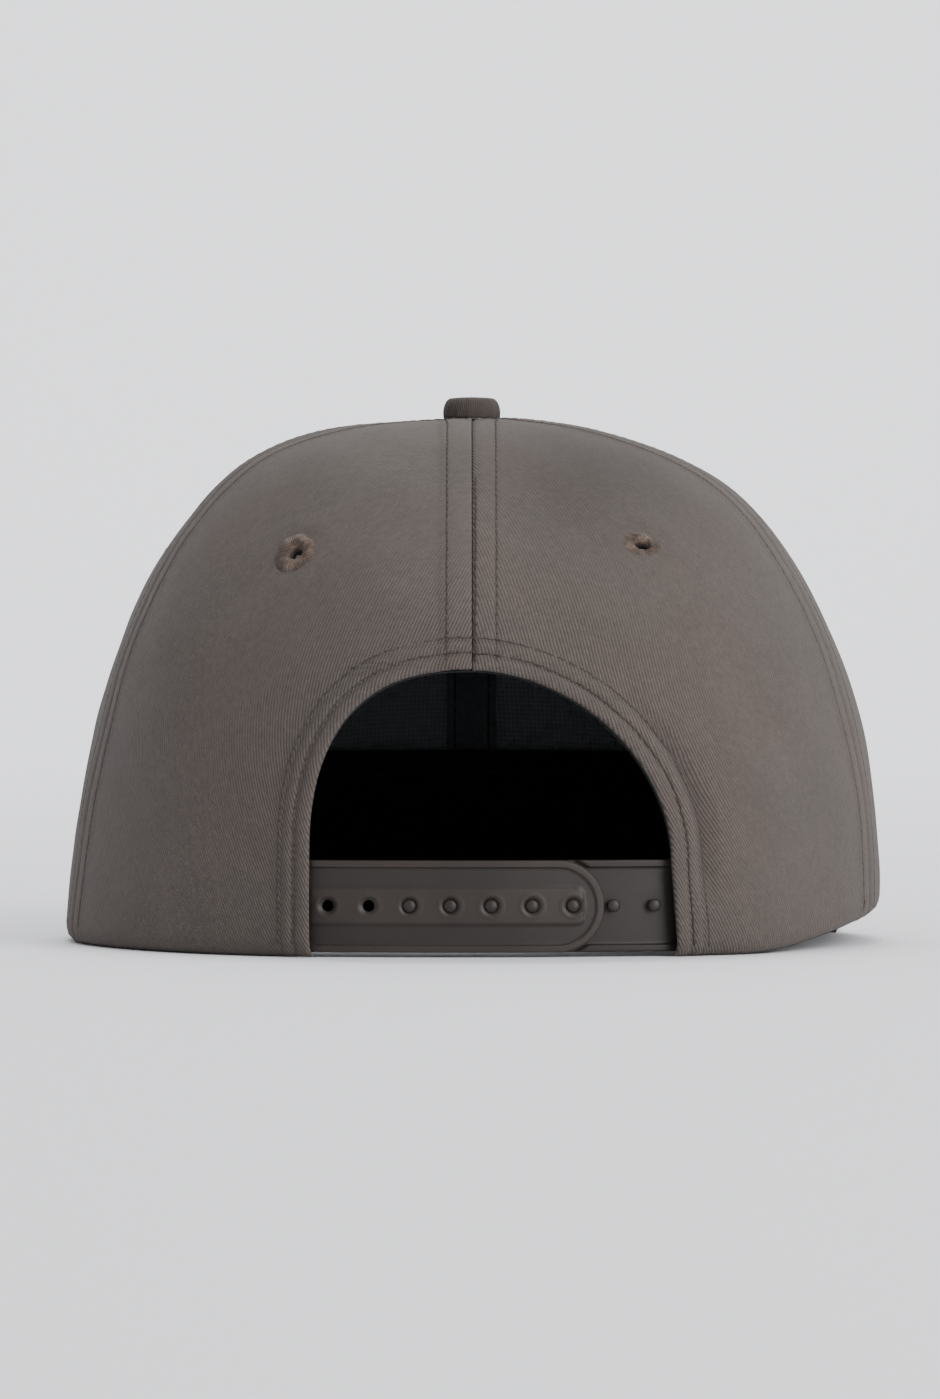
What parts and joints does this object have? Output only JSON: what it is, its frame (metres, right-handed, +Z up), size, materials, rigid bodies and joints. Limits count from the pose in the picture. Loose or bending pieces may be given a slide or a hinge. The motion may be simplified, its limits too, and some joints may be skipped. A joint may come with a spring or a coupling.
{
  "type": "baseball cap",
  "caption": "Six-panel snapback cap with a flat visor, a covered top button, a rear arch opening and a two-part snap strap.",
  "frame": {"origin": "middle of the head opening, level with the surface that the cap stands on", "axes": "+Z up, +Y forward over the visor, +X to the wearer's right, so the rear arch and snap strap face -Y"},
  "size_m": [0.1876, 0.2605, 0.1245],
  "materials": {
    "twill": "taupe cotton twill, matte, lightly washed",
    "lining": "black cotton seam tape and sweatband",
    "buckram": "stiff resin-treated open mesh",
    "visor_board": "flexible polyethylene sheet",
    "thread": "brown embroidery thread with a soft sheen",
    "strap": "satin moulded plastic",
    "metal": "plain pressed steel"
  },
  "bodies": {
    "crown": {"front_left_panel": "twill", "front_left_eyelet": "thread", "side_left_panel": "twill", "side_left_eyelet": "thread", "rear_left_panel": "twill", "rear_left_eyelet": "thread", "left_buckram": "buckram", "front_right_panel": "twill", "front_right_eyelet": "thread", "side_right_panel": "twill", "side_right_eyelet": "thread", "rear_right_panel": "twill", "rear_right_eyelet": "thread", "right_buckram": "buckram", "centre_seam_tape": "lining", "right_to_left_seam_tape": "lining", "left_to_right_seam_tape": "lining", "rear_arch_binding": "lining", "sweatband": "lining", "visor_under_cover": "twill", "visor_board": "visor_board", "visor_upper_cover": "twill", "button_cover": "twill", "button_shell": "metal", "button_post": "metal", "button_washer": "metal", "female_strap_tab": "strap", "male_strap_tab": "strap"},
    "female_strap": {"female_strap_half": "strap"},
    "male_strap": {"male_strap_half": "strap"}
  },
  "joints": [
    {"name": "female_strap_flex", "type": "hinge", "parent": "crown", "child": "female_strap", "pos_m": [-0.0352, -0.08689, 0.0112], "axis": [0, 0, -1], "range_deg": [0, 60], "stiffness_Nm_per_rad": 0.01},
    {"name": "male_strap_flex", "type": "hinge", "parent": "crown", "child": "male_strap", "pos_m": [0.04385, -0.08256, 0.0112], "axis": [0, 0, -1], "range_deg": [0, 35], "stiffness_Nm_per_rad": 0.01}
  ]
}
